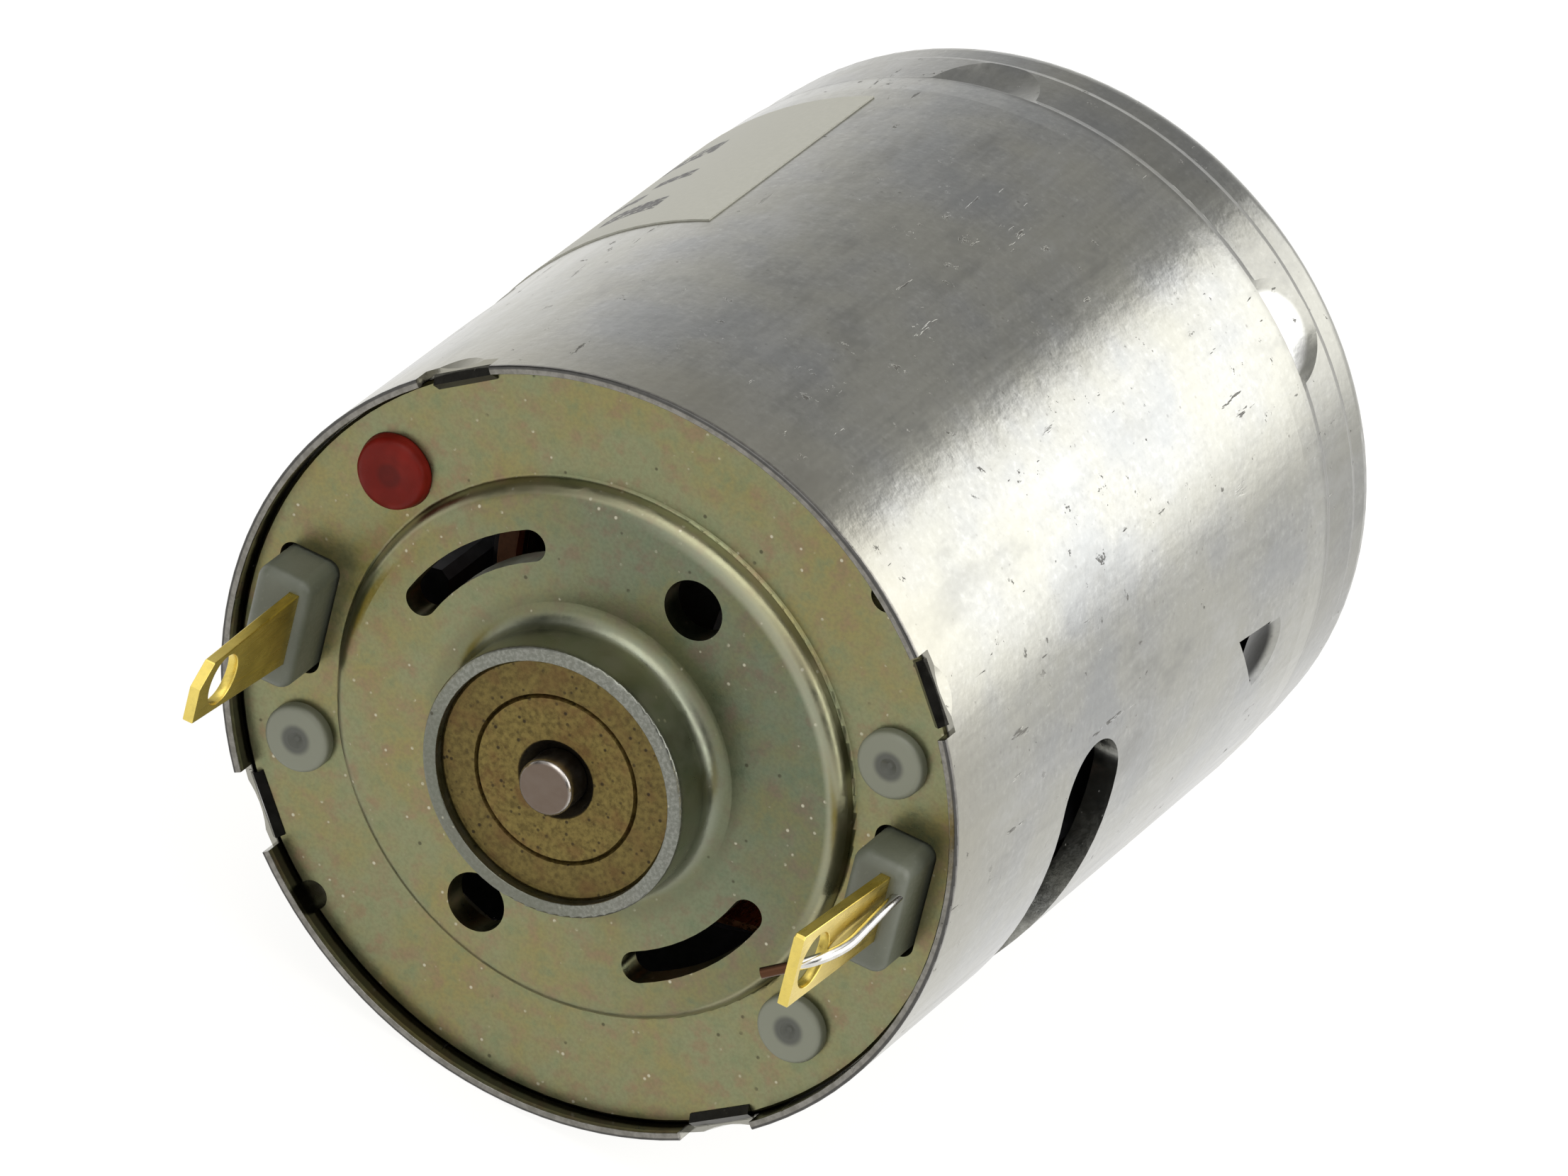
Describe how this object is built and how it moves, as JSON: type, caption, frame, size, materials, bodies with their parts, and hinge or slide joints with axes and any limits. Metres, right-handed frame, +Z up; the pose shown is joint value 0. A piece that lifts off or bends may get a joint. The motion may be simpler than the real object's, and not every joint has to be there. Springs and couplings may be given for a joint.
{
  "type": "brushed DC electric motor",
  "caption": "Small brushed DC motor in a drawn steel can with a crimped metal end plate, two brass solder terminals, a bronze rear bushing and a free-turning shaft.",
  "frame": {"origin": "centre of the front mounting face, on the shaft axis", "axes": "+Y along the shaft towards the output end, +X towards the terminal on the right when seen from the terminal end, +Z up"},
  "size_m": [0.0277, 0.0491, 0.0276],
  "materials": {
    "zinc_steel": "zinc plated, satin, drawn along the axis",
    "yellow_passivated_steel": "zinc plated with yellow-olive passivation",
    "sintered_bronze": "porous, matt, oil-filled",
    "ferrite": "sintered, matt",
    "spring_steel": "satin",
    "terminal_brass": "stamped, semi-bright",
    "nylon": "natural, slightly translucent grey",
    "red_paint": "brushed-on paint, satin",
    "leaf_copper": "rolled copper alloy",
    "carbon": "pressed carbon, matt",
    "tinned_wire": "tinned, bright",
    "label_film": "silvery white film, satin",
    "ground_steel": "ground and polished",
    "electrical_steel": "stacked sheet edges",
    "fibre": "matt fibre sheet",
    "phenolic": "moulded, matt",
    "enamelled_copper": "enamelled wire, glossy"
  },
  "bodies": {
    "stator": {"can": "zinc_steel", "end_plate": "yellow_passivated_steel", "front_bushing": "sintered_bronze", "rear_bushing": "sintered_bronze", "upper_magnet": "ferrite", "lower_magnet": "ferrite", "magnet_spring": "spring_steel", "right_terminal": "terminal_brass", "left_terminal": "terminal_brass", "right_brush_holder": "nylon", "left_brush_holder": "nylon", "polarity_mark": "red_paint", "right_brush_arm": "leaf_copper", "left_brush_arm": "leaf_copper", "right_brush": "carbon", "left_brush": "carbon", "choke_lead": "tinned_wire", "label": "label_film"},
    "rotor": {"shaft": "ground_steel", "lamination_stack": "electrical_steel", "front_insulator": "fibre", "rear_insulator": "fibre", "commutator_hub": "phenolic", "front_spacer": "nylon", "rear_thrust_washer": "nylon", "coil_1": "enamelled_copper", "coil_2": "enamelled_copper", "coil_3": "enamelled_copper", "coil_4": "enamelled_copper", "coil_5": "enamelled_copper", "commutator_segment_1": "leaf_copper", "commutator_segment_2": "leaf_copper", "commutator_segment_3": "leaf_copper", "commutator_segment_4": "leaf_copper", "commutator_segment_5": "leaf_copper"}
  },
  "joints": [
    {"name": "rotor_spin", "type": "hinge", "parent": "stator", "child": "rotor", "pos_m": [0, 0, 0], "axis": [0, 1, 0], "continuous": true}
  ]
}
